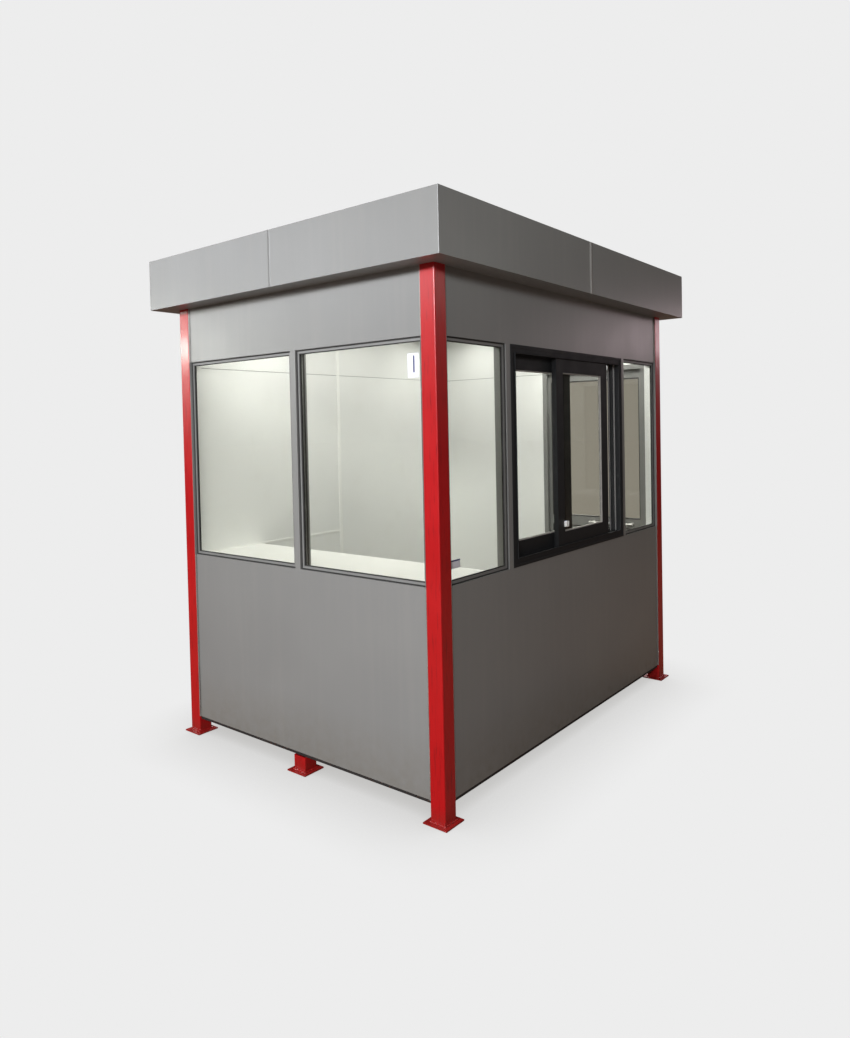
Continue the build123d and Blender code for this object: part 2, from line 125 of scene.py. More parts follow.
surroundings = bpy.data.worlds.new("studio_surroundings")
surroundings.use_nodes = True
surroundings.node_tree.nodes.clear()
bpy.context.scene.world = surroundings
paths = add_node(surroundings, "ShaderNodeLightPath")
dimmed = add_node(
    surroundings,
    "ShaderNodeMix",
    {0: paths.outputs["Is Transmission Ray"], 6: backdrop_colour, 7: behind_glass},
    data_type="RGBA",
)
backdrop = add_node(surroundings, "ShaderNodeBackground", {"Color": dimmed.outputs[2]})
# Glossy rays meet a darker room than the soft light that fills it, and the
# sharp reflections in glass a darker one still.
fill = add_node(
    surroundings,
    "ShaderNodeMapRange",
    {"Value": paths.outputs["Is Glossy Ray"], "To Min": 0.16, "To Max": 0.09},
)
mirrored = add_node(
    surroundings,
    "ShaderNodeMapRange",
    {"Value": paths.outputs["Is Singular Ray"], "To Min": 1.0, "To Max": 0.3},
)
strength = add_node(
    surroundings,
    "ShaderNodeMath",
    {0: fill.outputs[0], 1: mirrored.outputs[0]},
    operation="MULTIPLY",
)
room_light = add_node(
    surroundings,
    "ShaderNodeBackground",
    {"Color": linear("#D0C4B7"), "Strength": strength.outputs[0]},
)
seen = add_node(
    surroundings,
    "ShaderNodeMixShader",
    {0: paths.outputs["Is Reflection Ray"], 1: backdrop.outputs[0], 2: room_light.outputs[0]},
)
add_node(surroundings, "ShaderNodeOutputWorld", {"Surface": seen.outputs[0]})


# ---- lights -----------------------------------------------------------------
# Soft boxes: strong ones high on the left, weak ones whose gleams lie on the
# walls, one over the roof, one for the right and back walls, a low one for the
# fascia's underside, and small ones for the booth's own light in its ceiling.
def soft_box(name, place, aim, width, height, watts, tint):
    """A large area light that faces a point and isn't seen itself."""
    bpy.ops.object.light_add(type="AREA", location=place)
    lamp = bpy.context.object
    lamp.name = name
    lamp.data.shape = "RECTANGLE"
    lamp.data.size = width
    lamp.data.size_y = height
    lamp.data.energy = watts
    lamp.data.color = linear(tint)[:3]
    direction = [aim[axis] - place[axis] for axis in range(3)]
    flat = math.hypot(direction[0], direction[1])
    lamp.rotation_euler = (
        math.atan2(flat, -direction[2]),
        0,
        math.atan2(-direction[0], direction[1]),
    )
    lamp.visible_camera = False
    lamp.visible_transmission = False
    return lamp


soft_box("left_soft_box", (-6.5, -0.6, 3.6), (-1.1, 0.2, 1.4), 1.4, 0.8, 345, "#F6F9FF")
soft_box("near_left_soft_box", (-6.3, -3.8, 3.4), (-1.1, -0.8, 1.8), 1.2, 0.7, 250, "#F6F9FF")
soft_box("far_left_panel", (-6.5, 6.0, 4.1), (-1.1, 0.2, 2.2), 5.0, 1.3, 92, "#F6F9FF")
soft_box("far_left_gleam", (-4.8, 6.0, 2.68), (-1.1, 0.8, 2.1), 1.6, 0.2, 52, "#FCFEF6")
soft_box("right_gleam", (6.4, -3.0, 2.70), (1.1, -0.8, 2.1), 1.5, 0.45, 10, "#FFE6ED")
soft_box("front_right_gleam", (6.6, -7.4, 4.6), (0.0, -0.9, 2.3), 3.0, 2.0, 20, "#FBFFF6")
soft_box("top_soft_box", (0.0, 0.0, 7.0), (0.0, 0.0001, 0.0), 5.0, 5.0, 260, "#FFFFFF")
soft_box("right_soft_box", (6.5, 4.5, 3.6), (1.0, 0.8, 1.2), 3.5, 3.0, 900, "#FCFCFF")
floor_bounce = soft_box(
    "left_floor_bounce", (-3.2, 0.0, 0.1), (-1.3, 0.0, 2.3), 3.0, 1.6, 12, "#F6F9FF"
)
floor_bounce.visible_glossy = False
for number, (x, y, watts) in enumerate(
    ((-0.7, 0.42, 4.5), (-0.7, -0.42, 5.7), (0.0, 0.45, 1.7), (0.7, 0.42, 2.7), (0.7, -0.4, 10.4))
):
    soft_box(
        "ceiling_light_%d" % number, (x, y, 2.225), (x, y + 0.0001, 0.0), 0.5, 0.3, watts, "#FFFFFD"
    )


# ---- corner posts and feet --------------------------------------------------
# Square steel tube on flat base plates, welded all round, then sprayed with
# red gloss enamel. Yard dust lies on the plates and has crept up the tube.
def cover(nodes, material):
    """Gives CAD nodes a finish in all their material slots."""
    for name in nodes:
        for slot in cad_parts[name].material_slots:
            slot.material = material


# Gloss enamel, sprayed over steel: a deep clear red with a soft orange peel,
# thinner in patches, scuffed at hand height and dulled by dust near the ground.
enamel = empty_material("red_gloss_enamel")
place = add_node(enamel, "ShaderNodeTexCoord").outputs["Object"]
height = add_node(enamel, "ShaderNodeSeparateXYZ", {0: place}).outputs["Z"]
patches = add_node(enamel, "ShaderNodeTexNoise", {"Vector": place, "Scale": 5.0, "Detail": 4.0})
coats = add_node(
    enamel,
    "ShaderNodeMix",
    {0: patches.outputs["Fac"], 6: linear("#98060C"), 7: linear("#AE0C12")},
    data_type="RGBA",
)
# Overspray and small runs, some 8 mm wide and drawn out down the tube.
drawn_out = add_node(enamel, "ShaderNodeMapping", {"Vector": place, "Scale": (120, 120, 9)})
runs = add_node(enamel, "ShaderNodeTexNoise", {"Vector": drawn_out.outputs[0], "Scale": 1.0})
run_mask = add_node(
    enamel, "ShaderNodeMapRange", {"Value": runs.outputs["Fac"], "From Min": 0.56, "From Max": 0.74}
)
run_tone = add_node(
    enamel,
    "ShaderNodeMix",
    {0: run_mask.outputs[0], 6: coats.outputs[2], 7: linear("#7E060D")},
    data_type="RGBA",
)
specks = add_node(enamel, "ShaderNodeTexNoise", {"Vector": place, "Scale": 140.0, "Detail": 2.0})
near_ground = add_node(
    enamel,
    "ShaderNodeMapRange",
    {"Value": height, "From Min": 0.004, "From Max": 0.08, "To Min": 0.75, "To Max": 0.0},
)
dust = add_node(
    enamel,
    "ShaderNodeMath",
    {0: near_ground.outputs[0], 1: specks.outputs["Fac"]},
    operation="MULTIPLY",
)
dusty = add_node(
    enamel,
    "ShaderNodeMix",
    {0: dust.outputs[0], 6: run_tone.outputs[2], 7: linear("#54281F")},
    data_type="RGBA",
)
gloss = add_node(
    enamel,
    "ShaderNodeMapRange",
    {
        "Value": patches.outputs["Fac"],
        "From Min": 0.1,
        "From Max": 0.9,
        "To Min": 0.28,
        "To Max": 0.38,
    },
)
dull = add_node(
    enamel, "ShaderNodeMath", {0: gloss.outputs[0], 1: dust.outputs[0]}, operation="MAXIMUM"
)
peel = add_node(enamel, "ShaderNodeTexNoise", {"Vector": place, "Scale": 220.0, "Detail": 1.0})
ripple = add_node(
    enamel, "ShaderNodeBump", {"Height": peel.outputs["Fac"], "Strength": 0.12, "Distance": 0.0008}
)
coat = add_node(
    enamel,
    "ShaderNodeBsdfPrincipled",
    {
        "Base Color": dusty.outputs[2],
        "Roughness": dull.outputs[0],
        "Normal": ripple.outputs[0],
        "Coat Weight": 0.3,
        "Coat Roughness": 0.14,
    },
)
add_node(enamel, "ShaderNodeOutputMaterial", {"Surface": coat.outputs[0]})

corner_posts = [
    "corner_post_front_left",
    "corner_post_front_right",
    "corner_post_back_left",
    "corner_post_back_right",
]
middle_feet = ["middle_foot_left", "middle_foot_right"]
cover(corner_posts + middle_feet, enamel)


# ---- welds round the feet ---------------------------------------------------
# A fillet weld runs all round each tube where it meets its plate. It was laid
# by hand, so its face ripples, and the enamel goes over it.
def dress(piece, body, material):
    """Gives a new piece its finish, its body and the slot it belongs to."""
    piece.data.materials.clear()
    piece.data.materials.append(material)
    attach(piece, body)


def settle(piece, name):
    """Names a piece and moves its place into its mesh."""
    bpy.ops.object.transform_apply(location=True, rotation=True, scale=True)
    piece.name = name
    piece.data.name = name
    return piece


def repeat(pattern, name, shift, turn=(0, 0, 0)):
    """A copy of a piece with its own mesh, turned and then moved."""
    bpy.ops.object.select_all(action="DESELECT")
    pattern.select_set(True)
    bpy.context.view_layer.objects.active = pattern
    bpy.ops.object.duplicate(linked=False)
    copy = bpy.context.object
    copy.rotation_euler = turn
    copy.location = shift
    return settle(copy, name)


tube, weld_leg, weld_bite, plate_top = 0.075, 0.006, 0.0004, 0.006
bpy.ops.object.select_all(action="DESELECT")
bpy.ops.mesh.primitive_plane_add(size=tube + 2 * weld_leg, location=(0, 0, plate_top))
weld = settle(bpy.context.object, "weld")
bpy.ops.object.mode_set(mode="EDIT")
bpy.ops.mesh.subdivide(number_cuts=28)
bpy.ops.mesh.inset(thickness=weld_leg + weld_bite, use_even_offset=True)
bpy.ops.mesh.extrude_region_move(TRANSFORM_OT_translate={"value": (0, 0, weld_leg)})
bpy.ops.mesh.delete(type="FACE")
bpy.ops.mesh.select_all(action="DESELECT")
bpy.ops.mesh.select_non_manifold()
bpy.ops.mesh.bridge_edge_loops(number_cuts=2, interpolation="LINEAR")
bpy.ops.object.mode_set(mode="OBJECT")
still_edge = 0.001
for vertex in weld.data.vertices:
    above_plate = vertex.co.z - plate_top
    vertex.select = still_edge < above_plate < weld_leg - still_edge
bpy.ops.object.mode_set(mode="EDIT")
bpy.ops.transform.vertex_random(offset=0.0011, normal=0.6, seed=4)
bpy.ops.mesh.select_all(action="SELECT")
bpy.ops.mesh.normals_make_consistent(inside=False)
bpy.ops.object.mode_set(mode="OBJECT")
bpy.ops.object.shade_smooth()
for number, foot in enumerate(corner_posts + middle_feet):
    low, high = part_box(foot)
    middle = ((low[0] + high[0]) / 2, (low[1] + high[1]) / 2, 0)
    quarter_turns = (0, 0, (number % 4) * math.pi / 2)
    dress(repeat(weld, foot + "_weld", middle, quarter_turns), "booth", enamel)
bpy.data.objects.remove(weld)

# ---- floor frame ------------------------------------------------------------
# Steel beams welded between the feet, brushed with black primer. They carry
# the boards and show as a dark line under the walls.
# Primer: matt black with brush strokes, and rust showing in small specks.
primer = empty_material("black_primer_on_steel")
place = add_node(primer, "ShaderNodeTexCoord").outputs["Object"]
along = add_node(primer, "ShaderNodeMapping", {"Vector": place, "Scale": (8, 8, 260)})
strokes = add_node(
    primer, "ShaderNodeTexNoise", {"Vector": along.outputs[0], "Scale": 1.0, "Detail": 5.0}
)
tone = add_node(
    primer,
    "ShaderNodeMix",
    {0: strokes.outputs["Fac"], 6: linear("#0E0D0D"), 7: linear("#2B2725")},
    data_type="RGBA",
)
rust_spots = add_node(primer, "ShaderNodeTexNoise", {"Vector": place, "Scale": 85.0, "Detail": 6.0})
rust_mask = add_node(
    primer,
    "ShaderNodeMapRange",
    {"Value": rust_spots.outputs["Fac"], "From Min": 0.60, "From Max": 0.68},
)
rusty = add_node(
    primer,
    "ShaderNodeMix",
    {0: rust_mask.outputs[0], 6: tone.outputs[2], 7: linear("#4A2A18")},
    data_type="RGBA",
)
matt = add_node(
    primer,
    "ShaderNodeMapRange",
    {"Value": strokes.outputs["Fac"], "To Min": 0.5, "To Max": 0.8},
)
ridges = add_node(
    primer,
    "ShaderNodeBump",
    {"Height": strokes.outputs["Fac"], "Strength": 0.3, "Distance": 0.0006},
)
skin = add_node(
    primer,
    "ShaderNodeBsdfPrincipled",
    {"Base Color": rusty.outputs[2], "Roughness": matt.outputs[0], "Normal": ridges.outputs[0]},
)
add_node(primer, "ShaderNodeOutputMaterial", {"Surface": skin.outputs[0]})
cover(["floor_frame", "floor_end_beams"], primer)

# ---- floor ------------------------------------------------------------------
# A board covered with speckled grey sheet vinyl, glued down and walked on.
# Vinyl: 3 mm flecks in two greys, and scuffs that dull its sheen.
vinyl = empty_material("speckled_vinyl")
place = add_node(vinyl, "ShaderNodeTexCoord").outputs["Object"]
flecks = add_node(vinyl, "ShaderNodeTexVoronoi", {"Vector": place, "Scale": 330.0})
tone = add_node(
    vinyl,
    "ShaderNodeMix",
    {0: flecks.outputs["Color"], 6: linear("#6F6D69"), 7: linear("#A19F9A")},
    data_type="RGBA",
)
scuffs = add_node(vinyl, "ShaderNodeTexNoise", {"Vector": place, "Scale": 6.0, "Detail": 8.0})
worn = add_node(
    vinyl,
    "ShaderNodeMix",
    {0: scuffs.outputs["Fac"], 6: tone.outputs[2], 7: linear("#85827B")},
    data_type="RGBA",
)
sheen = add_node(
    vinyl, "ShaderNodeMapRange", {"Value": scuffs.outputs["Fac"], "To Min": 0.3, "To Max": 0.7}
)
grain = add_node(
    vinyl,
    "ShaderNodeBump",
    {"Height": flecks.outputs["Distance"], "Strength": 0.15, "Distance": 0.0005},
)
skin = add_node(
    vinyl,
    "ShaderNodeBsdfPrincipled",
    {"Base Color": worn.outputs[2], "Roughness": sheen.outputs[0], "Normal": grain.outputs[0]},
)
add_node(vinyl, "ShaderNodeOutputMaterial", {"Surface": skin.outputs[0]})
cover(["floor_deck"], vinyl)

# ---- wall panels ------------------------------------------------------------
# Aluminium composite sheet with a coil-coated face, pressed flat and fixed from
# behind. The strips between the windows are folded from the same sheet.
# Its silver-grey lacquer has a satin sheen with fine roller grain. The sheet
# swells a little between its fixings, and dust hangs on its lower edge.
panel_coat = empty_material("silver_grey_coated_aluminium")
place = add_node(panel_coat, "ShaderNodeTexCoord").outputs["Object"]
axes = add_node(panel_coat, "ShaderNodeSeparateXYZ", {0: place}).outputs
clouds = add_node(panel_coat, "ShaderNodeTexNoise", {"Vector": place, "Scale": 1.6, "Detail": 5.0})
tone = add_node(
    panel_coat,
    "ShaderNodeMix",
    {0: clouds.outputs["Fac"], 6: linear("#737371"), 7: linear("#7F7F7C")},
    data_type="RGBA",
)
rain_path = add_node(panel_coat, "ShaderNodeMapping", {"Vector": place, "Scale": (26, 26, 1.1)})
streaks = add_node(
    panel_coat, "ShaderNodeTexNoise", {"Vector": rain_path.outputs[0], "Scale": 1.0, "Detail": 4.0}
)
streak_mask = add_node(
    panel_coat,
    "ShaderNodeMapRange",
    {"Value": streaks.outputs["Fac"], "From Min": 0.48, "From Max": 0.85, "To Max": 0.16},
)
streaked = add_node(
    panel_coat,
    "ShaderNodeMix",
    {0: streak_mask.outputs[0], 6: tone.outputs[2], 7: linear("#8E8B84")},
    data_type="RGBA",
)
low_down = add_node(
    panel_coat,
    "ShaderNodeMapRange",
    {"Value": axes["Z"], "From Min": 0.09, "From Max": 0.36, "To Min": 0.75, "To Max": 0.0},
)
splashes = add_node(
    panel_coat, "ShaderNodeTexNoise", {"Vector": place, "Scale": 24.0, "Detail": 7.0}
)
grime = add_node(
    panel_coat,
    "ShaderNodeMath",
    {0: low_down.outputs[0], 1: splashes.outputs["Fac"]},
    operation="MULTIPLY",
)
grimy = add_node(
    panel_coat,
    "ShaderNodeMix",
    {0: grime.outputs[0], 6: streaked.outputs[2], 7: linear("#6C665C")},
    data_type="RGBA",
)
smudges = add_node(panel_coat, "ShaderNodeTexNoise", {"Vector": place, "Scale": 4.5, "Detail": 3.0})
sheen = add_node(
    panel_coat,
    "ShaderNodeMapRange",
    {
        "Value": smudges.outputs["Fac"],
        "From Min": 0.1,
        "From Max": 0.9,
        "To Min": 0.28,
        "To Max": 0.37,
    },
)
satin = add_node(
    panel_coat, "ShaderNodeMath", {0: sheen.outputs[0], 1: grime.outputs[0]}, operation="MAXIMUM"
)
swell = add_node(
    panel_coat,
    "ShaderNodeBump",
    {"Height": clouds.outputs["Fac"], "Strength": 0.15, "Distance": 0.004},
)
# Roller grain is some 0.4 mm wide, drawn at 2 mm so that it shows.
roller_path = add_node(panel_coat, "ShaderNodeMapping", {"Vector": place, "Scale": (60, 60, 520)})
roller_lines = add_node(
    panel_coat,
    "ShaderNodeTexNoise",
    {"Vector": roller_path.outputs[0], "Scale": 1.0, "Detail": 2.0},
)
# The sheets' edges roll out a little at the seams in the middle of the fascia.
fascia_x, fascia_y = 1.25, 0.95
seam_parts = []
for along, across, face, reach, roll in (
    ("X", "Y", fascia_y, 0.020, 1.0),
    ("Y", "X", fascia_x, 0.008, 0.5),
):
    off_seam = add_node(panel_coat, "ShaderNodeMath", {0: axes[along]}, operation="ABSOLUTE")
    rise = add_node(
        panel_coat,
        "ShaderNodeMapRange",
        {
            "Value": off_seam.outputs[0],
            "From Min": 0.001,
            "From Max": reach,
            "To Min": roll,
            "To Max": 0.0,
        },
        interpolation_type="SMOOTHSTEP",
    )
    out = add_node(panel_coat, "ShaderNodeMath", {0: axes[across]}, operation="ABSOLUTE")
    on_face = add_node(
        panel_coat, "ShaderNodeMath", {0: out.outputs[0], 1: face}, operation="GREATER_THAN"
    )
    seam_parts.append(
        add_node(
            panel_coat,
            "ShaderNodeMath",
            {0: rise.outputs[0], 1: on_face.outputs[0]},
            operation="MULTIPLY",
        )
    )
rolled = add_node(
    panel_coat,
    "ShaderNodeMath",
    {0: seam_parts[0].outputs[0], 1: seam_parts[1].outputs[0]},
    operation="MAXIMUM",
)
# On the front and back a painted highlight lies pale along these edges, for the light that the
# rolled edges catch.
seam_painted_highlight = add_node(
    panel_coat,
    "ShaderNodeMix",
    {0: seam_parts[0].outputs[0], 6: grimy.outputs[2], 7: linear("#ABABA7")},
    data_type="RGBA",
)
rolled_edge = add_node(
    panel_coat,
    "ShaderNodeBump",
    {"Height": rolled.outputs[0], "Strength": 1.0, "Distance": 0.004, "Normal": swell.outputs[0]},
)
grain = add_node(
    panel_coat,
    "ShaderNodeBump",
    {
        "Height": roller_lines.outputs["Fac"],
        "Strength": 0.05,
        "Distance": 0.0004,
        "Normal": rolled_edge.outputs[0],
    },
)
skin = add_node(
    panel_coat,
    "ShaderNodeBsdfPrincipled",
    {"Base Color": seam_painted_highlight.outputs[2], "Roughness": satin.outputs[0], "Normal": grain.outputs[0]},
)
add_node(panel_coat, "ShaderNodeOutputMaterial", {"Surface": skin.outputs[0]})
cover(
    [
        "front_wall_lower",
        "front_wall_upper",
        "left_wall_lower",
        "left_wall_upper",
        "back_wall",
        "right_wall",
        "right_wall_upper",
        "left_mullion",
        "front_mullions",
        "fascia_front_left",
        "fascia_front_right",
        "fascia_back_left",
        "fascia_back_right",
        "soffit",
        "door_lower_panel",
    ],
    panel_coat,
)

# ---- sealant between panels and posts ---------------------------------------
# A bead of grey silicone in each inside corner where a panel meets a post, laid
# with a gun and smoothed with a finger, so its width wanders a little.
def waxy_polymer(name, mottle_scale, mottle_detail, tones, roughness, glow):
    """A soft, slightly translucent polymer with a fine mottle in its tone."""
    polymer = empty_material(name)
    place = add_node(polymer, "ShaderNodeTexCoord").outputs["Object"]
    mottle = add_node(
        polymer,
        "ShaderNodeTexNoise",
        {"Vector": place, "Scale": mottle_scale, "Detail": mottle_detail},
    )
    tone = add_node(
        polymer,
        "ShaderNodeMix",
        {0: mottle.outputs["Fac"], 6: linear(tones[0]), 7: linear(tones[1])},
        data_type="RGBA",
    )
    skin = add_node(
        polymer,
        "ShaderNodeBsdfPrincipled",
        {"Base Color": tone.outputs[2], "Roughness": roughness, "Subsurface Weight": glow},
    )
    add_node(polymer, "ShaderNodeOutputMaterial", {"Surface": skin.outputs[0]})
    return polymer


# Silicone: even, slightly translucent grey with a waxy sheen and caught dust.
silicone = waxy_polymer("grey_silicone_sealant", 90.0, 4.0, ("#75706B", "#959089"), 0.38, 0.05)

bead_radius = 0.0062
wall_foot, sill, head, eaves = 0.090, 0.955, 1.965, 2.245


def sealant_bead(name, z_low, z_high):
    """An upright bead on the Z axis, with a slightly uneven surface."""
    bpy.ops.object.select_all(action="DESELECT")
    bpy.ops.mesh.primitive_cylinder_add(
        vertices=10, radius=bead_radius, depth=z_high - z_low, location=(0, 0, (z_low + z_high) / 2)
    )
    bead = bpy.context.object
    bpy.ops.object.mode_set(mode="EDIT")
    bpy.ops.mesh.select_all(action="DESELECT")
    bpy.ops.object.mode_set(mode="OBJECT")
    for edge in bead.data.edges:
        low, high = (bead.data.vertices[corner].co for corner in edge.vertices)
        edge.select = abs(low.z - high.z) > 0.01
    bpy.ops.object.mode_set(mode="EDIT")
    bpy.ops.mesh.subdivide(number_cuts=max(3, round((z_high - z_low) / 0.03)))
    bpy.ops.transform.vertex_random(offset=0.0006, normal=0.8, seed=7)
    bpy.ops.object.mode_set(mode="OBJECT")
    bpy.ops.object.shade_smooth_by_angle(angle=math.radians(50))
    return settle(bead, name)


low_bead = sealant_bead("low_bead", wall_foot, sill)
high_bead = sealant_bead("high_bead", head, eaves)
long_bead = sealant_bead("long_bead", wall_foot, eaves)
skin_x, skin_y, room_x, room_y = 1.142, 0.842, 1.075, 0.775
beside_windows = {
    "front_left_front": (-room_x, -skin_y),
    "front_left_side": (-skin_x, -room_y),
    "front_right_front": (room_x, -skin_y),
    "back_left_side": (-skin_x, room_y),
}
beside_walls = {
    "front_right_side": (skin_x, -room_y),
    "back_right_side": (skin_x, room_y),
    "back_right_back": (room_x, skin_y),
    "back_left_back": (-room_x, skin_y),
}
for corner, (x, y) in beside_windows.items():
    dress(repeat(low_bead, corner + "_low_sealant", (x, y, 0)), "booth", silicone)
    dress(repeat(high_bead, corner + "_high_sealant", (x, y, 0)), "booth", silicone)
for corner, (x, y) in beside_walls.items():
    dress(repeat(long_bead, corner + "_sealant", (x, y, 0)), "booth", silicone)
for pattern in (low_bead, high_bead, long_bead):
    bpy.data.objects.remove(pattern)

# ---- linings and ceiling ----------------------------------------------------
# The same composite sheet in gloss white, glued to the studs and ceiling.
# The lacquer is bright and even, with hand smudges and a soft swell in it.
white_coat = empty_material("white_coated_aluminium")
place = add_node(white_coat, "ShaderNodeTexCoord").outputs["Object"]
clouds = add_node(white_coat, "ShaderNodeTexNoise", {"Vector": place, "Scale": 2.2, "Detail": 4.0})
tone = add_node(
    white_coat,
    "ShaderNodeMix",
    {0: clouds.outputs["Fac"], 6: linear("#DDDEDB"), 7: linear("#E4E4E2")},
    data_type="RGBA",
)
smudges = add_node(
    white_coat, "ShaderNodeTexNoise", {"Vector": place, "Scale": 11.0, "Detail": 7.0}
)
smudge_mask = add_node(
    white_coat,
    "ShaderNodeMapRange",
    {"Value": smudges.outputs["Fac"], "From Min": 0.55, "From Max": 0.8, "To Max": 0.16},
)
smudged = add_node(
    white_coat,
    "ShaderNodeMix",
    {0: smudge_mask.outputs[0], 6: tone.outputs[2], 7: linear("#C4C2BA")},
    data_type="RGBA",
)
sheen = add_node(
    white_coat,
    "ShaderNodeMapRange",
    {
        "Value": smudges.outputs["Fac"],
        "From Min": 0.3,
        "From Max": 0.7,
        "To Min": 0.28,
        "To Max": 0.38,
    },
)
swell = add_node(
    white_coat,
    "ShaderNodeBump",
    {"Height": clouds.outputs["Fac"], "Strength": 0.05, "Distance": 0.004},
)
skin = add_node(
    white_coat,
    "ShaderNodeBsdfPrincipled",
    {"Base Color": smudged.outputs[2], "Roughness": sheen.outputs[0], "Normal": swell.outputs[0]},
)
add_node(white_coat, "ShaderNodeOutputMaterial", {"Surface": skin.outputs[0]})
cover(["front_lining", "left_lining", "back_lining", "right_lining", "ceiling_panel"], white_coat)

# ---- joint strips on the linings --------------------------------------------
# White PVC strips snapped over the upright and the sill joint of the back lining:
# flat, with rolled edges. The joint at the head is left open.
def extruded_polymer(name, mottle_scale, mottle_detail, tones, sheens):
    """An extruded profile's face, with a sheen that follows the mottle in its tone."""
    polymer = empty_material(name)
    place = add_node(polymer, "ShaderNodeTexCoord").outputs["Object"]
    mottle = add_node(
        polymer,
        "ShaderNodeTexNoise",
        {"Vector": place, "Scale": mottle_scale, "Detail": mottle_detail},
    )
    tone = add_node(
        polymer,
        "ShaderNodeMix",
        {0: mottle.outputs["Fac"], 6: linear(tones[0]), 7: linear(tones[1])},
        data_type="RGBA",
    )
    sheen = add_node(
        polymer,
        "ShaderNodeMapRange",
        {"Value": mottle.outputs["Fac"], "To Min": sheens[0], "To Max": sheens[1]},
    )
    skin = add_node(
        polymer,
        "ShaderNodeBsdfPrincipled",
        {"Base Color": tone.outputs[2], "Roughness": sheen.outputs[0]},
    )
    add_node(polymer, "ShaderNodeOutputMaterial", {"Surface": skin.outputs[0]})
    return polymer


# PVC: a cool matt white that has yellowed very slightly, in soft patches.
pvc = extruded_polymer("white_pvc_profile", 14.0, 3.0, ("#E6E6E2", "#EDEDEA"), (0.4, 0.55))


def facing(side):
    """How a piece drawn flat on the ground is stood up to face one way."""
    if side == "up":
        return (0, 0, 0)
    turns = {"front": 0, "left": -90, "right": 90, "back": 180}
    return (math.radians(90), 0, math.radians(turns[side]))


def flat_strip(name, middle, size, depth, side):
    """A bar with rolled edges that stands off a wall and faces one way."""
    bpy.ops.object.select_all(action="DESELECT")
    bpy.ops.mesh.primitive_plane_add(size=1)
    strip = bpy.context.object
    bpy.ops.object.mode_set(mode="EDIT")
    bpy.ops.transform.resize(value=(size[0], size[1], 1))
    bpy.ops.mesh.extrude_region_move(TRANSFORM_OT_translate={"value": (0, 0, depth)})
    bpy.ops.mesh.region_to_loop()
    bpy.ops.mesh.bevel(offset=depth * 0.6, segments=3, profile=0.5)
    bpy.ops.mesh.select_all(action="SELECT")
    bpy.ops.mesh.normals_make_consistent(inside=False)
    bpy.ops.object.mode_set(mode="OBJECT")
    bpy.ops.object.shade_smooth_by_angle(angle=math.radians(40))
    strip.rotation_euler = facing(side)
    strip.location = middle
    return settle(strip, name)


lined_x, lined_y, seam_x, floor_top = 1.071, 0.771, -0.050, 0.143
upright_width, sill_width, strip_depth = 0.026, 0.0156, 0.002
upright_rise = eaves - floor_top
sill_run = seam_x - upright_width / 2 + lined_x
for name, x, z, size in (
    ("back_upright_strip", seam_x, floor_top + upright_rise / 2, (upright_width, upright_rise)),
    ("back_sill_strip", -lined_x + sill_run / 2, sill, (sill_run, sill_width)),
):
    strip = flat_strip(name, (x, lined_y, z), size, strip_depth, "front")
    dress(strip, "booth", pvc)

# ---- counter ----------------------------------------------------------------
# Faced board along the left wall under the windows, with a rounded front edge.
# White laminate: a fine stipple that breaks up its gloss, and wear along it.
laminate = empty_material("white_laminate")
place = add_node(laminate, "ShaderNodeTexCoord").outputs["Object"]
stipple = add_node(laminate, "ShaderNodeTexNoise", {"Vector": place, "Scale": 420.0, "Detail": 2.0})
wear = add_node(laminate, "ShaderNodeTexNoise", {"Vector": place, "Scale": 8.0, "Detail": 6.0})
tone = add_node(
    laminate,
    "ShaderNodeMix",
    {0: wear.outputs["Fac"], 6: linear("#F4F4F1"), 7: linear("#E9E8E4")},
    data_type="RGBA",
)
sheen = add_node(
    laminate, "ShaderNodeMapRange", {"Value": wear.outputs["Fac"], "To Min": 0.28, "To Max": 0.5}
)
bumps = add_node(
    laminate,
    "ShaderNodeBump",
    {"Height": stipple.outputs["Fac"], "Strength": 0.12, "Distance": 0.0004},
)
skin = add_node(
    laminate,
    "ShaderNodeBsdfPrincipled",
    {"Base Color": tone.outputs[2], "Roughness": sheen.outputs[0], "Normal": bumps.outputs[0]},
)
add_node(laminate, "ShaderNodeOutputMaterial", {"Surface": skin.outputs[0]})
cover(["counter"], laminate)


# ---- fixed window and door frames -------------------------------------------
# Extruded aluminium bars, mitred at the corners and sprayed with grey powder
# paint, set a little behind the wall's face.
def powder_coat(name, low_tone, high_tone, low_sheen, high_sheen, shine):
    """Baked powder paint: fine even grain, with handling marks that dull it."""
    coat = empty_material(name)
    place = add_node(coat, "ShaderNodeTexCoord").outputs["Object"]
    grain = add_node(coat, "ShaderNodeTexNoise", {"Vector": place, "Scale": 500.0, "Detail": 2.0})
    marks = add_node(coat, "ShaderNodeTexNoise", {"Vector": place, "Scale": 13.0, "Detail": 7.0})
    tone = add_node(
        coat,
        "ShaderNodeMix",
        {0: marks.outputs["Fac"], 6: linear(low_tone), 7: linear(high_tone)},
        data_type="RGBA",
    )
    sheen = add_node(
        coat,
        "ShaderNodeMapRange",
        {
            "Value": marks.outputs["Fac"],
            "From Min": 0.3,
            "From Max": 0.7,
            "To Min": low_sheen,
            "To Max": high_sheen,
        },
    )
    bumps = add_node(
        coat,
        "ShaderNodeBump",
        {"Height": grain.outputs["Fac"], "Strength": 0.1, "Distance": 0.0004},
    )
    skin = add_node(
        coat,
        "ShaderNodeBsdfPrincipled",
        {
            "Base Color": tone.outputs[2],
            "Roughness": sheen.outputs[0],
            "Specular IOR Level": shine,
            "Normal": bumps.outputs[0],
        },
    )
    add_node(coat, "ShaderNodeOutputMaterial", {"Surface": skin.outputs[0]})
    return coat


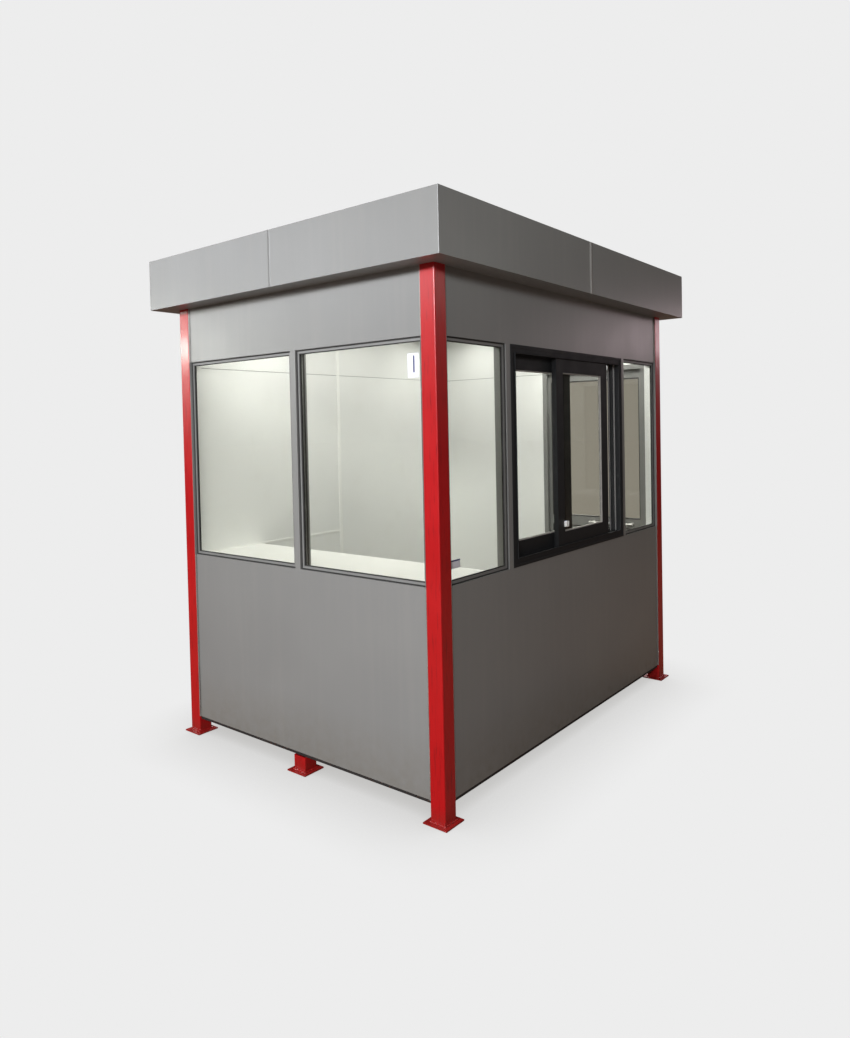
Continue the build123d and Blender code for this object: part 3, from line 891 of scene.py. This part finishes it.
grey_powder = powder_coat("grey_powder_coat", "#6E6E6C", "#7B7B78", 0.36, 0.52, 0.5)
cover(
    [
        "left_window_frame_back",
        "left_window_frame_front",
        "front_window_frame_left",
        "front_window_frame_right",
        "door_frame",
        "door_leaf",
    ],
    grey_powder,
)

# Flat bars of the same kind close the posts' sides in front of the frames, and
# wider ones the sides of the mullions behind them.
half_way_up, mullion_rise = (sill + head) / 2, head - sill - 0.009
post_cover, mullion_cover, cover_depth = (0.017, head - sill), (0.038, mullion_rise), 0.0014
below_face, behind_face = 0.0010, 0.0465
post_x, post_y = -skin_x + below_face, -skin_y + below_face
left_mullion_x, front_mullion_y = -skin_x + behind_face, -skin_y + behind_face
for name, x, y, size, side in (
    ("back_left_post_cover", post_x, room_y, post_cover, "front"),
    ("front_left_post_side_cover", post_x, -room_y, post_cover, "back"),
    ("front_left_post_front_cover", -room_x, post_y, post_cover, "right"),
    ("front_right_post_cover", room_x, post_y, post_cover, "left"),
    ("left_mullion_front_cover", left_mullion_x, -0.0360, mullion_cover, "front"),
    ("left_mullion_back_cover", left_mullion_x, 0.0060, mullion_cover, "back"),
    ("front_mullion_left_cover", -0.6280, front_mullion_y, mullion_cover, "left"),
    ("front_mullion_right_cover", 0.6280, front_mullion_y, mullion_cover, "right"),
):
    strip = flat_strip(name, (x, y, half_way_up), size, cover_depth, side)
    dress(strip, "booth", grey_powder)


# ---- glazing gaskets and perimeter seals of the fixed windows ---------------
# Black EPDM rubber wedges pushed in round each pane on both faces, and a black
# seal that fills the gap between the frame and the wall round it.
# EPDM: matt black with a grey bloom where it has weathered.
rubber = extruded_polymer("black_epdm_rubber", 60.0, 5.0, ("#161615", "#32312E"), (0.5, 0.75))


def ring_strip(name, middle, size, width, depth, side):
    """A strip with a rounded nose, laid round a rectangle that faces one way."""
    bpy.ops.object.select_all(action="DESELECT")
    bpy.ops.mesh.primitive_plane_add(size=1)
    ring = bpy.context.object
    bpy.ops.object.mode_set(mode="EDIT")
    bpy.ops.transform.resize(value=(size[0], size[1], 1))
    bpy.ops.mesh.inset(thickness=width, use_even_offset=True)
    bpy.ops.mesh.delete(type="FACE")
    bpy.ops.mesh.select_all(action="SELECT")
    bpy.ops.mesh.extrude_region_move(TRANSFORM_OT_translate={"value": (0, 0, depth)})
    bpy.ops.mesh.region_to_loop()
    bpy.ops.mesh.bevel(offset=min(width, depth) * 0.4, segments=3, profile=0.5)
    bpy.ops.mesh.select_all(action="SELECT")
    bpy.ops.mesh.normals_make_consistent(inside=False)
    bpy.ops.object.mode_set(mode="OBJECT")
    bpy.ops.object.shade_smooth_by_angle(angle=math.radians(40))
    ring.rotation_euler = facing(side)
    ring.location = middle
    return settle(ring, name)


frame_face, gasket_width, seal_width, seal_depth = 0.016, 0.004, 0.006, 0.003
for window, side, other_side in (
    ("left_window_frame_back", "left", "right"),
    ("left_window_frame_front", "left", "right"),
    ("front_window_frame_left", "front", "back"),
    ("front_window_frame_right", "front", "back"),
):
    low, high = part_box(window)
    across = 1 if side == "left" else 0
    into = 1 - across
    size = (high[across] - low[across], high[2] - low[2])
    sight = (size[0] - 2 * frame_face, size[1] - 2 * frame_face)
    middle = [(low[axis] + high[axis]) / 2 for axis in range(3)]
    for part, set_back, ring_size, width, depth, way in (
        ("perimeter_seal", 0.0, size, seal_width, seal_depth, side),
        ("outer_gasket", 0.0063, sight, gasket_width, 0.0045, side),
        ("inner_gasket", 0.0123, sight, gasket_width, 0.0030, other_side),
    ):
        middle[into] = low[into] + set_back
        strip = ring_strip(window + "_" + part, middle, ring_size, width, depth, way)
        dress(strip, "booth", rubber)

# A black seal down the mullion's cover, where the lining meets it.
mullion_seal = flat_strip(
    "left_mullion_seal", (-1.0925, -0.0372, half_way_up), (0.011, mullion_rise), 0.0012, "front"
)
dress(mullion_seal, "booth", rubber)

# ---- sliding service window -------------------------------------------------
# Charcoal powder-coated aluminium: a two-track frame with a flange that covers
# its joint with the wall, and two sashes, the outer one left partly open.
charcoal_powder = powder_coat("charcoal_powder_coat", "#1B1C1D", "#262728", 0.48, 0.62, 0.2)
cover(["sliding_window_frame", "sliding_sash_outer", "sliding_sash_inner"], charcoal_powder)

low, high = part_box("sliding_window_frame")
window_size = (high[0] - low[0], high[2] - low[2])
window_middle = ((low[0] + high[0]) / 2, low[1], (low[2] + high[2]) / 2)
frame_width, flange_width, flange_depth, lip_width, lip_depth = 0.040, 0.014, 0.0025, 0.0042, 0.0048
inside = [side_length - 2 * (frame_width - lip_width) for side_length in window_size]
for part, size, width, depth in (
    ("flange", window_size, flange_width, flange_depth),
    ("lip", inside, lip_width, lip_depth),
):
    ring = ring_strip("sliding_window_" + part, window_middle, size, width, depth, "front")
    dress(ring, "booth", charcoal_powder)

# Wool pile on a pale backing, clipped to the track flanges beside the sashes. Its pale tone is
# partly a painted highlight, for the light that the flange edges catch.
# Fibres some 0.1 mm thick are drawn at 1 mm, so that the pile looks soft.
pile = empty_material("grey_wool_pile")
place = add_node(pile, "ShaderNodeTexCoord").outputs["Object"]
fibres = add_node(pile, "ShaderNodeTexNoise", {"Vector": place, "Scale": 900.0, "Detail": 3.0})
tone = add_node(
    pile,
    "ShaderNodeMix",
    {0: fibres.outputs["Fac"], 6: linear("#8C8B88"), 7: linear("#C9C8C4")},
    data_type="RGBA",
)
fluff = add_node(
    pile, "ShaderNodeBump", {"Height": fibres.outputs["Fac"], "Strength": 0.6, "Distance": 0.001}
)
skin = add_node(
    pile,
    "ShaderNodeBsdfPrincipled",
    {
        "Base Color": tone.outputs[2],
        "Roughness": 0.9,
        "Normal": fluff.outputs[0],
        "Sheen Weight": 0.3,
    },
)
add_node(pile, "ShaderNodeOutputMaterial", {"Surface": skin.outputs[0]})

pile_rise, pile_depth = 0.940, 0.0012
track_face = window_size[0] / 2 - 0.0325
for track, set_back, pile_width in (("middle", 0.031, 0.014), ("back", 0.062, 0.010)):
    for end, x in (("left", -track_face), ("right", track_face)):
        middle = (x, window_middle[1] + set_back, window_middle[2])
        size = (pile_width, pile_rise)
        strip = flat_strip(track + "_pile_" + end, middle, size, pile_depth, "front")
        dress(strip, "booth", pile)

# Pale grey glazing rubber round both faces of each sliding pane.
# It is softer than the black kind, and dust has greyed it in patches.
pale_rubber = extruded_polymer(
    "pale_grey_glazing_rubber", 70.0, 5.0, ("#86837F", "#B2AFAA"), (0.45, 0.7)
)

sash_stile, sash_rail, sash_recess, pane_thickness = 0.070, 0.080, 0.0093, 0.006
pale_width, pale_depth = 0.006, 0.007
for sash in ("sliding_sash_outer", "sliding_sash_inner"):
    low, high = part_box(sash)
    sight = (high[0] - low[0] - 2 * sash_stile, high[2] - low[2] - 2 * sash_rail)
    x, z = (low[0] + high[0]) / 2, (low[2] + high[2]) / 2
    front_glass = low[1] + sash_recess
    for part, y, way in (
        ("_outer_gasket", front_glass, "front"),
        ("_inner_gasket", front_glass + pane_thickness, "back"),
    ):
        gasket = ring_strip(sash + part, (x, y, z), sight, pale_width, pale_depth, way)
        dress(gasket, "booth", pale_rubber)

# ---- nylon stop on the outer sash -------------------------------------------
# A small white moulded block on the bottom corner of the outer sash, held by
# one screw, that buffers it against the frame.
# Nylon: a warm, faintly waxy white with fine flow marks.
nylon = waxy_polymer("white_nylon", 160.0, 3.0, ("#E6E5DF", "#F6F5F0"), 0.4, 0.08)

low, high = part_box("sliding_sash_outer")
stop_width, stop_height, stop_depth = 0.0265, 0.029, 0.0135
stop_place = (-0.0862, low[1], 1.1005)
bpy.ops.object.select_all(action="DESELECT")
bpy.ops.mesh.primitive_plane_add(size=1)
stop = bpy.context.object
bpy.ops.object.mode_set(mode="EDIT")
bpy.ops.transform.resize(value=(stop_width, stop_height, 1))
bpy.ops.mesh.bevel(offset=0.004, segments=4, affect="VERTICES")
bpy.ops.mesh.select_all(action="SELECT")
bpy.ops.mesh.extrude_region_move(TRANSFORM_OT_translate={"value": (0, 0, stop_depth)})
bpy.ops.mesh.inset(thickness=0.0016, depth=0.0008)
bpy.ops.mesh.inset(thickness=0.005)
bpy.ops.mesh.extrude_region_move(TRANSFORM_OT_translate={"value": (0, 0, -0.002)})
bpy.ops.mesh.select_all(action="SELECT")
bpy.ops.mesh.normals_make_consistent(inside=False)
bpy.ops.object.mode_set(mode="OBJECT")
bpy.ops.object.shade_smooth_by_angle(angle=math.radians(35))
stop.rotation_euler = facing("front")
stop.location = stop_place
dress(settle(stop, "sash_corner_stop"), "booth", nylon)

# ---- glass ------------------------------------------------------------------
# 6 mm float glass, cut to size and held in the frames' grooves.
# It is clear with a trace of green, and its faces roll very slightly. Light
# for what stands behind it passes straight through.
float_glass = empty_material("clear_float_glass")
paths = add_node(float_glass, "ShaderNodeLightPath")
through = add_node(
    float_glass,
    "ShaderNodeMath",
    {0: paths.outputs["Is Shadow Ray"], 1: paths.outputs["Is Diffuse Ray"]},
    operation="MAXIMUM",
)
place = add_node(float_glass, "ShaderNodeTexCoord").outputs["Object"]
film = add_node(float_glass, "ShaderNodeTexNoise", {"Vector": place, "Scale": 5.0, "Detail": 6.0})
tint = add_node(
    float_glass,
    "ShaderNodeMix",
    {0: film.outputs["Fac"], 6: linear("#F6F8F4"), 7: linear("#FCFDFA")},
    data_type="RGBA",
)
roll = add_node(float_glass, "ShaderNodeTexNoise", {"Vector": place, "Scale": 3.0, "Detail": 1.0})
rolling = add_node(
    float_glass,
    "ShaderNodeBump",
    {"Height": roll.outputs["Fac"], "Strength": 0.03, "Distance": 0.003},
)
body = add_node(
    float_glass,
    "ShaderNodeBsdfPrincipled",
    {
        "Base Color": tint.outputs[2],
        "Roughness": 0.0,
        "IOR": 1.5,
        "Transmission Weight": 1.0,
        "Normal": rolling.outputs[0],
    },
)
# The far face only lets light out, so that the pale backdrop isn't mirrored
# inside the pane.
far_face = add_node(
    float_glass,
    "ShaderNodeBsdfRefraction",
    {"Color": linear("#FAFBF8"), "Roughness": 0.0, "IOR": 1.5},
)
faces = add_node(float_glass, "ShaderNodeNewGeometry")
pane = add_node(
    float_glass,
    "ShaderNodeMixShader",
    {0: faces.outputs["Backfacing"], 1: body.outputs[0], 2: far_face.outputs[0]},
)
clear = add_node(float_glass, "ShaderNodeBsdfTransparent", {"Color": linear("#D6D6D1")})
seen = add_node(
    float_glass,
    "ShaderNodeMixShader",
    {0: through.outputs[0], 1: pane.outputs[0], 2: clear.outputs[0]},
)
add_node(float_glass, "ShaderNodeOutputMaterial", {"Surface": seen.outputs[0]})
cover(
    ["left_window_glass", "front_window_glass", "sliding_window_glass", "door_glass"], float_glass
)

# ---- labels on the glass ----------------------------------------------------
# Plain white film labels with one dark blue band, stuck on the outside of two
# panes and never taken off. Nothing is printed on them here.
# Film: smooth white with a slight waviness where it has lifted.
label_film = empty_material("white_label_film")
place = add_node(label_film, "ShaderNodeTexCoord").outputs["Object"]
lifting = add_node(
    label_film, "ShaderNodeTexNoise", {"Vector": place, "Scale": 45.0, "Detail": 2.0}
)
tone = add_node(
    label_film,
    "ShaderNodeMix",
    {0: lifting.outputs["Fac"], 6: linear("#CDCED6"), 7: linear("#E0E0E6")},
    data_type="RGBA",
)
waves = add_node(
    label_film,
    "ShaderNodeBump",
    {"Height": lifting.outputs["Fac"], "Strength": 0.3, "Distance": 0.001},
)
skin = add_node(
    label_film,
    "ShaderNodeBsdfPrincipled",
    {"Base Color": tone.outputs[2], "Roughness": 0.35, "Normal": waves.outputs[0]},
)
add_node(label_film, "ShaderNodeOutputMaterial", {"Surface": skin.outputs[0]})

# Printing ink: dark blue, worn thin in specks.
blue_ink = empty_material("dark_blue_printing_ink")
place = add_node(blue_ink, "ShaderNodeTexCoord").outputs["Object"]
specks = add_node(blue_ink, "ShaderNodeTexNoise", {"Vector": place, "Scale": 300.0, "Detail": 3.0})
tone = add_node(
    blue_ink,
    "ShaderNodeMix",
    {0: specks.outputs["Fac"], 6: linear("#10144A"), 7: linear("#2B3170")},
    data_type="RGBA",
)
skin = add_node(
    blue_ink, "ShaderNodeBsdfPrincipled", {"Base Color": tone.outputs[2], "Roughness": 0.4}
)
add_node(blue_ink, "ShaderNodeOutputMaterial", {"Surface": skin.outputs[0]})

label_depth, ink_depth = 0.0005, 0.0003
left_pane_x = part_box("left_window_glass")[0][0]
front_pane_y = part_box("front_window_glass")[0][1]
for side, middle, size, band_shift, band_size in (
    (
        "left",
        (left_pane_x, -0.7155, 1.8510),
        (0.058, 0.099),
        (-label_depth, -0.004, 0.006),
        (0.0075, 0.068),
    ),
    (
        "front",
        (-1.0145, front_pane_y, 1.0370),
        (0.066, 0.036),
        (0, -label_depth, 0.0145),
        (0.066, 0.0065),
    ),
):
    label = flat_strip(side + "_pane_label", middle, size, label_depth, side)
    dress(label, "booth", label_film)
    band_middle = [at + shift for at, shift in zip(middle, band_shift)]
    band = flat_strip(side + "_pane_label_band", band_middle, band_size, ink_depth, side)
    dress(band, "booth", blue_ink)

# ---- gaskets and seals of the door ------------------------------------------
# The same black rubber holds the door's pane and its lower panel on both faces,
# and a bulb of it on the stop closes the gap round the shut door.
leaf_low, leaf_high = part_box("door_leaf")
pane_low, pane_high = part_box("door_glass")
panel_low, panel_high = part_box("door_lower_panel")
groove, short_of_face = 0.0087, 0.002
for part, low, high, width in (
    ("pane", pane_low, pane_high, 0.0065),
    ("panel", panel_low, panel_high, 0.007),
):
    size = (high[1] - low[1] - 2 * groove, high[2] - low[2] - 2 * groove)
    y, z = (low[1] + high[1]) / 2, (low[2] + high[2]) / 2
    for face, x, depth, way in (
        ("outer", high[0], leaf_high[0] - high[0] - short_of_face, "right"),
        ("inner", low[0], low[0] - leaf_low[0] - short_of_face, "left"),
    ):
        name = "door_%s_%s_gasket" % (part, face)
        gasket = ring_strip(name, (x, y, z), size, width, depth, way)
        dress(gasket, "door", rubber)

door_low, door_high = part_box("door_frame")
stop_face, threshold = door_high[0] - 0.043, 0.125
jamb, stop_reach, bulb_depth, clearance = 0.017, 0.0095, 0.0028, 0.002
bulb_low, bulb_high = threshold + jamb, head - jamb
bulb = ring_strip(
    "door_stop_seal",
    (stop_face, (door_low[1] + door_high[1]) / 2, (bulb_low + bulb_high) / 2),
    (door_high[1] - door_low[1] - 2 * jamb - clearance, bulb_high - bulb_low - clearance),
    stop_reach,
    bulb_depth,
    "right",
)
dress(bulb, "booth", rubber)

# ---- hinges and pulls -------------------------------------------------------
# Lift-off hinges and plain tube pulls of stainless steel, brushed along their
# length, screwed on through their plates.
# The brushing draws the highlight out into fine upright lines.
stainless = empty_material("brushed_stainless_steel")
place = add_node(stainless, "ShaderNodeTexCoord").outputs["Object"]
stretched = add_node(stainless, "ShaderNodeMapping", {"Vector": place, "Scale": (900, 900, 25)})
strokes = add_node(stainless, "ShaderNodeTexNoise", {"Vector": stretched.outputs[0], "Scale": 1.0})
tone = add_node(
    stainless,
    "ShaderNodeMix",
    {0: strokes.outputs["Fac"], 6: linear("#B7B6B2"), 7: linear("#D2D1CD")},
    data_type="RGBA",
)
sheen = add_node(
    stainless,
    "ShaderNodeMapRange",
    {"Value": strokes.outputs["Fac"], "To Min": 0.28, "To Max": 0.42},
)
skin = add_node(
    stainless,
    "ShaderNodeBsdfPrincipled",
    {"Base Color": tone.outputs[2], "Metallic": 1.0, "Roughness": sheen.outputs[0]},
)
add_node(stainless, "ShaderNodeOutputMaterial", {"Surface": skin.outputs[0]})
cover(["door_hinge_pins", "door_hinge_barrels", "door_pulls"], stainless)


def turned_disc(sides, radius, depth):
    """A disc standing on the ground, in edit mode with its top face selected."""
    bpy.ops.object.select_all(action="DESELECT")
    bpy.ops.mesh.primitive_cylinder_add(
        vertices=sides, radius=radius, depth=depth, location=(0, 0, depth / 2)
    )
    disc = bpy.context.object
    bpy.ops.object.mode_set(mode="EDIT")
    bpy.ops.mesh.select_all(action="DESELECT")
    bpy.ops.object.mode_set(mode="OBJECT")
    for face in disc.data.polygons:
        face.select = face.normal.z > 0.9
    bpy.ops.object.mode_set(mode="EDIT")
    return disc


# Screws with a domed head and a small round socket hold the hinge plates.
screw = turned_disc(20, 0.0034, 0.0018)
bpy.ops.mesh.bevel(offset=0.0009, segments=3, profile=0.5)
bpy.ops.mesh.inset(thickness=0.0008)
bpy.ops.mesh.extrude_region_move(TRANSFORM_OT_translate={"value": (0, 0, -0.0008)})
bpy.ops.object.mode_set(mode="OBJECT")
bpy.ops.object.shade_smooth_by_angle(angle=math.radians(35))
settle(screw, "hinge_screw")
screw.rotation_euler = facing("right")
settle(screw, "hinge_screw")
hinge_middles = (0.327, 1.045, 1.763)
plate_face, frame_screw_y, leaf_screw_y = 1.145, -0.0662, -0.0905
for number, middle in enumerate(hinge_middles):
    for end, step in (("end", 0.038), ("mid", 0.015)):
        for plate, body, y, z in (
            ("frame", "booth", frame_screw_y, middle - step),
            ("leaf", "door", leaf_screw_y, middle + step),
        ):
            name = "%s_hinge_screw_%d_%s" % (plate, number, end)
            dress(repeat(screw, name, (plate_face, y, z)), body, stainless)
bpy.data.objects.remove(screw)

# A domed cap closes each hinge barrel, and a turned rose seats each pull foot.
bpy.ops.object.select_all(action="DESELECT")
bpy.ops.mesh.primitive_uv_sphere_add(segments=20, ring_count=10, radius=0.0070)
cap = bpy.context.object
bpy.ops.object.mode_set(mode="EDIT")
bpy.ops.mesh.bisect(plane_co=(0, 0, 0), plane_no=(0, 0, 1), clear_inner=True, use_fill=True)
bpy.ops.mesh.select_all(action="SELECT")
bpy.ops.transform.resize(value=(1, 1, 0.5))
bpy.ops.object.mode_set(mode="OBJECT")
bpy.ops.object.shade_smooth_by_angle(angle=math.radians(50))
settle(cap, "hinge_cap")
hinge_x, hinge_y, half_barrel = 1.150, -0.0785, 0.050
for number, middle in enumerate(hinge_middles):
    top_cap = repeat(cap, "hinge_cap_%d" % number, (hinge_x, hinge_y, middle + half_barrel))
    dress(top_cap, "door", stainless)
bpy.data.objects.remove(cap)

rose = turned_disc(32, 0.0105, 0.003)
bpy.ops.mesh.bevel(offset=0.0014, segments=3, profile=0.5)
bpy.ops.object.mode_set(mode="OBJECT")
bpy.ops.object.shade_smooth_by_angle(angle=math.radians(35))
settle(rose, "pull_rose")
pull_low, pull_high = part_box("door_pulls")
foot_inset = 0.016
pull_feet = (pull_low[1] + foot_inset, pull_high[1] - foot_inset)
for side, x in (("right", leaf_high[0]), ("left", leaf_low[0])):
    for number, y in enumerate(pull_feet):
        name = "pull_rose_%s_%d" % (side, number)
        dress(repeat(rose, name, (x, y, sill), facing(side)), "door", stainless)
bpy.data.objects.remove(rose)

# ---- roof -------------------------------------------------------------------
# Coated steel sheet in two lapped halves, turned up all round inside the fascia
# and sealed to it. A dried puddle leaves a faint brown edge on its flat coat.
roof_coat = empty_material("grey_coated_roof_sheet")
place = add_node(roof_coat, "ShaderNodeTexCoord").outputs["Object"]
stains = add_node(roof_coat, "ShaderNodeTexNoise", {"Vector": place, "Scale": 2.4, "Detail": 7.0})
tone = add_node(
    roof_coat,
    "ShaderNodeMix",
    {0: stains.outputs["Fac"], 6: linear("#8E8F92"), 7: linear("#9C9D9C")},
    data_type="RGBA",
)
above_water = add_node(
    roof_coat, "ShaderNodeMath", {0: stains.outputs["Fac"], 1: 0.46}, operation="SUBTRACT"
)
off_edge = add_node(roof_coat, "ShaderNodeMath", {0: above_water.outputs[0]}, operation="ABSOLUTE")
tide_mask = add_node(
    roof_coat,
    "ShaderNodeMapRange",
    {
        "Value": off_edge.outputs[0],
        "From Min": 0.0,
        "From Max": 0.03,
        "To Min": 0.16,
        "To Max": 0.0,
    },
)
marked = add_node(
    roof_coat,
    "ShaderNodeMix",
    {0: tide_mask.outputs[0], 6: tone.outputs[2], 7: linear("#6F6B62")},
    data_type="RGBA",
)
sheen = add_node(
    roof_coat, "ShaderNodeMapRange", {"Value": stains.outputs["Fac"], "To Min": 0.4, "To Max": 0.7}
)
dents = add_node(
    roof_coat,
    "ShaderNodeBump",
    {"Height": stains.outputs["Fac"], "Strength": 0.2, "Distance": 0.006},
)
skin = add_node(
    roof_coat,
    "ShaderNodeBsdfPrincipled",
    {"Base Color": marked.outputs[2], "Roughness": sheen.outputs[0], "Normal": dents.outputs[0]},
)
add_node(roof_coat, "ShaderNodeOutputMaterial", {"Surface": skin.outputs[0]})
cover(["roof_tray"], roof_coat)

# Strips behind the open joints of the fascia, above the tray's upturned edge.
tray_low, tray_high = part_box("roof_tray")
plate_width, plate_depth, plate_head = 0.05, 0.0015, 2.494
plate_rise = plate_head - tray_high[2]
plate_middle_z = tray_high[2] + plate_rise / 2
for face, x, y in (
    ("front", 0, tray_low[1] + plate_depth),
    ("back", 0, tray_high[1] - plate_depth),
    ("left", tray_low[0] + plate_depth, 0),
    ("right", tray_high[0] - plate_depth, 0),
):
    name, size = face + "_fascia_joint_strip", (plate_width, plate_rise)
    plate = flat_strip(name, (x, y, plate_middle_z), size, plate_depth, face)
    dress(plate, "booth", panel_coat)

# The cover strip over the lap of the two halves, bedded in grey sealant.
upturn, end_gap = 0.038, 0.006
sheet_top, lap_run = tray_high[2] - upturn, tray_high[1] - tray_low[1] - 2 * end_gap
for name, width, depth, coat in (
    ("roof_lap_sealant", 0.048, 0.0012, silicone),
    ("roof_lap_strip", 0.036, 0.0024, roof_coat),
):
    lap = flat_strip(name, (0, 0, sheet_top), (width, lap_run), depth, "up")
    dress(lap, "booth", coat)

# A bead of the same sealant runs all round the tray's upturned edge.
bead_width, bead_depth = 0.007, 0.005
tray_size = (tray_high[0] - tray_low[0], tray_high[1] - tray_low[1])
tray_seal = ring_strip(
    "roof_edge_sealant", (0, 0, tray_high[2]), tray_size, bead_width, bead_depth, "up"
)
dress(tray_seal, "booth", silicone)
